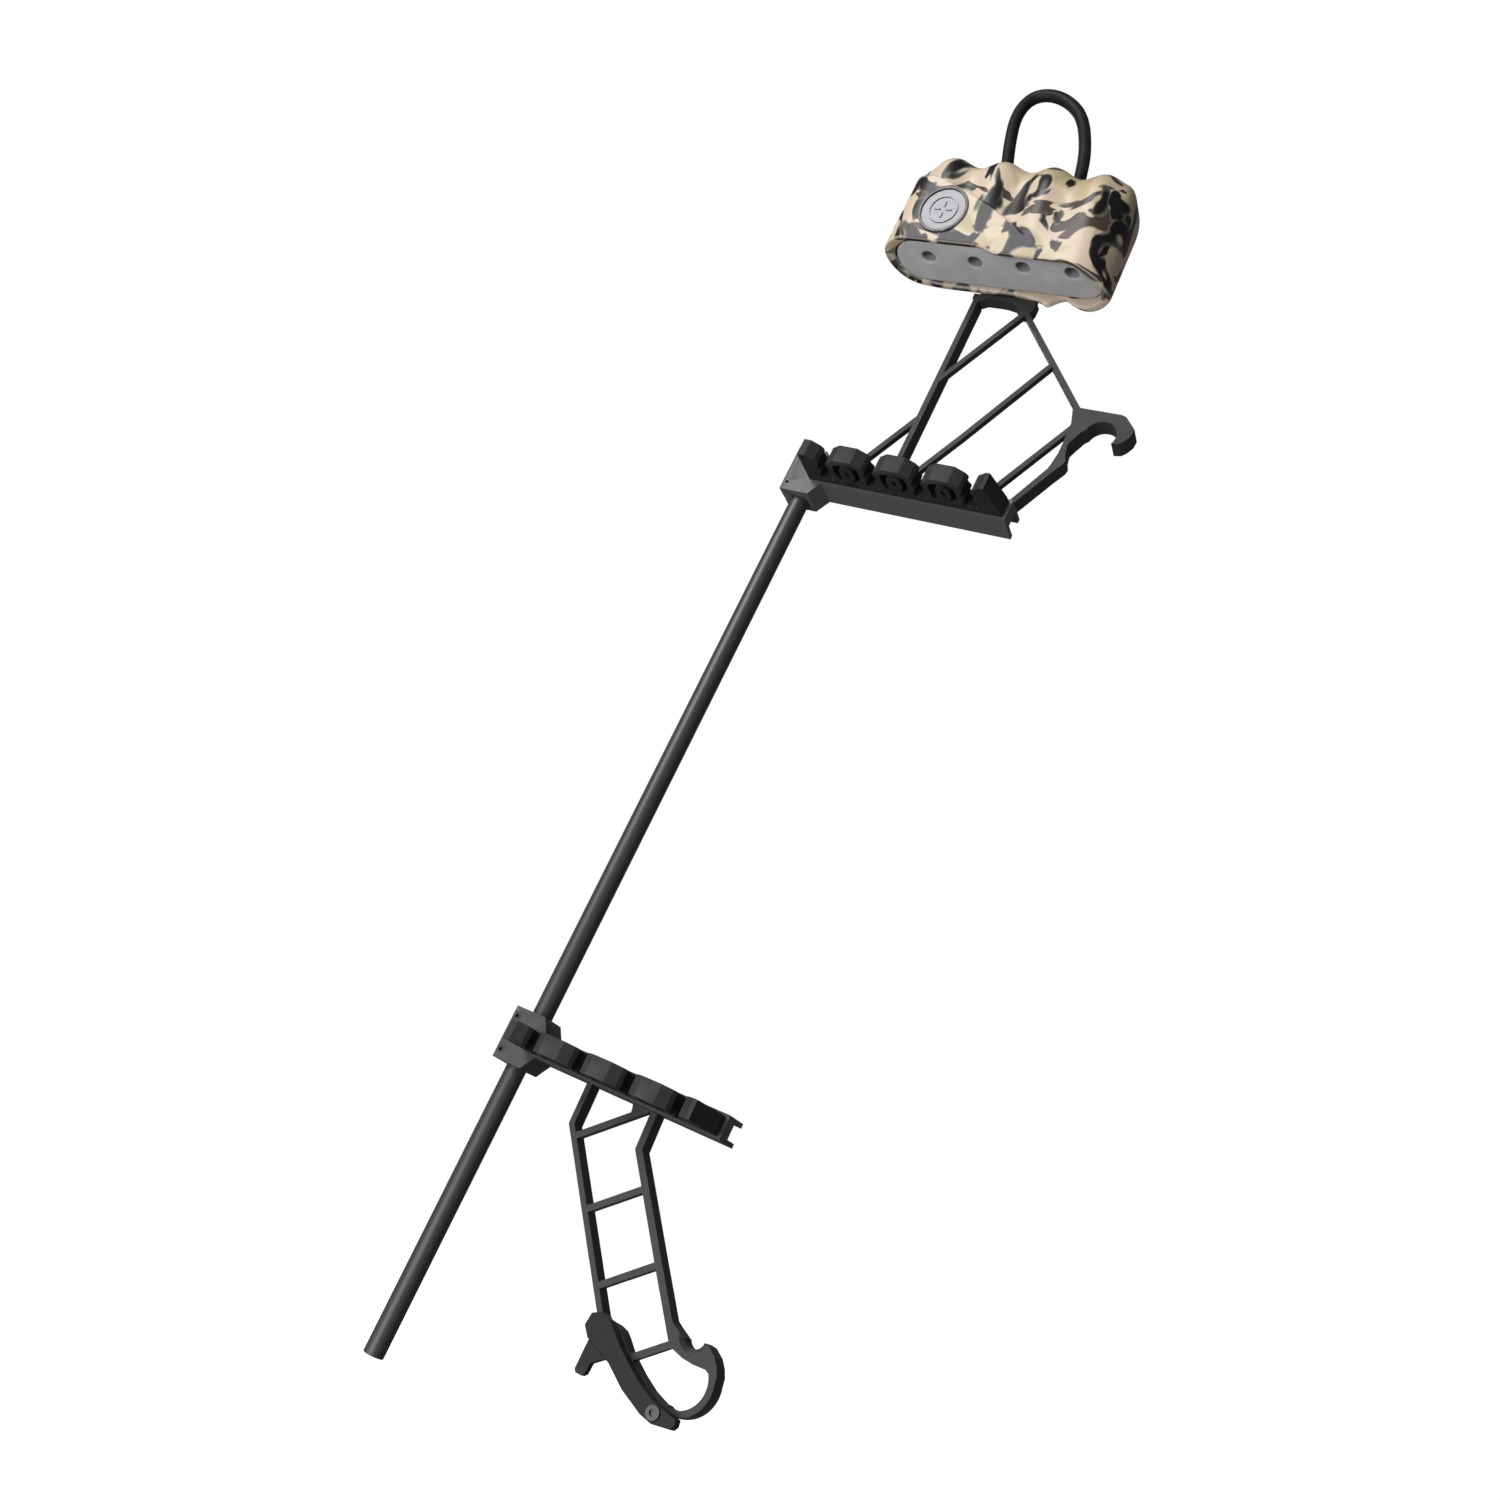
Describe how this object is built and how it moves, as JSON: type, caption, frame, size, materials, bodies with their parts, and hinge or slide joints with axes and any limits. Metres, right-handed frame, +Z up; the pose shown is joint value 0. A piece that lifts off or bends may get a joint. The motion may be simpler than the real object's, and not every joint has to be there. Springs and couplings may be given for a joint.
{
  "type": "detachable bow quiver",
  "caption": "Detachable bow quiver: a foam-filled hood with a hanging loop, clamp brackets with rubber arrow grippers on a round rod, a hook at the top and a latch ring with a lock lever below.",
  "frame": {"origin": "centre of the upper hook's round seat, half-way through the frame's thickness", "axes": "+Z up along the rod towards the hood, +X along the arrow bars to the hook's side, -Y towards the arrows"},
  "size_m": [0.1569, 0.05, 0.698],
  "materials": {
    "carbon": "satin",
    "moulded_black": "satin",
    "lever_black": "satin",
    "rubber_black": "matte",
    "black_steel": "satin",
    "bright_steel": "satin",
    "camouflage_shell": "satin",
    "grey_foam": "matte",
    "badge_silver": "satin",
    "bezel_black": "gloss"
  },
  "bodies": {
    "upper_assembly": {"upper_bar": "moulded_black", "upper_frame": "moulded_black", "upper_gripper": "rubber_black", "upper_clamp_screws": "black_steel", "upper_frame_screws": "black_steel", "hood_shell": "camouflage_shell", "foam_insert": "grey_foam", "hood_screws": "black_steel", "hood_nuts": "bright_steel", "badge": "badge_silver", "badge_bezel": "bezel_black", "hanging_loop": "rubber_black", "loop_stoppers": "bright_steel"},
    "rod": {"rod": "carbon"},
    "lower_bracket": {"lower_bar": "moulded_black", "lower_frame": "moulded_black", "lower_gripper": "rubber_black", "lower_clamp_screws": "black_steel", "lower_frame_screws": "black_steel", "lever_pivot_screw": "bright_steel", "lever_pivot_nut": "black_steel"},
    "lock_lever": {"lock_lever": "lever_black"}
  },
  "joints": [
    {"name": "rod_turn", "type": "hinge", "parent": "upper_assembly", "child": "rod", "pos_m": [-0.1314, -0.004, -0.0528], "axis": [0, 0, 1], "range_deg": [-180, 180]},
    {"name": "lower_bracket_slide", "type": "slide", "parent": "rod", "child": "lower_bracket", "axis": [0, 0, 1], "range_m": [-0.13, 0.16]},
    {"name": "lock_lever_hinge", "type": "hinge", "parent": "lower_bracket", "child": "lock_lever", "pos_m": [-0.0009, -0.004, -0.4734], "axis": [0, -1, 0], "range_deg": [0, 95]}
  ]
}
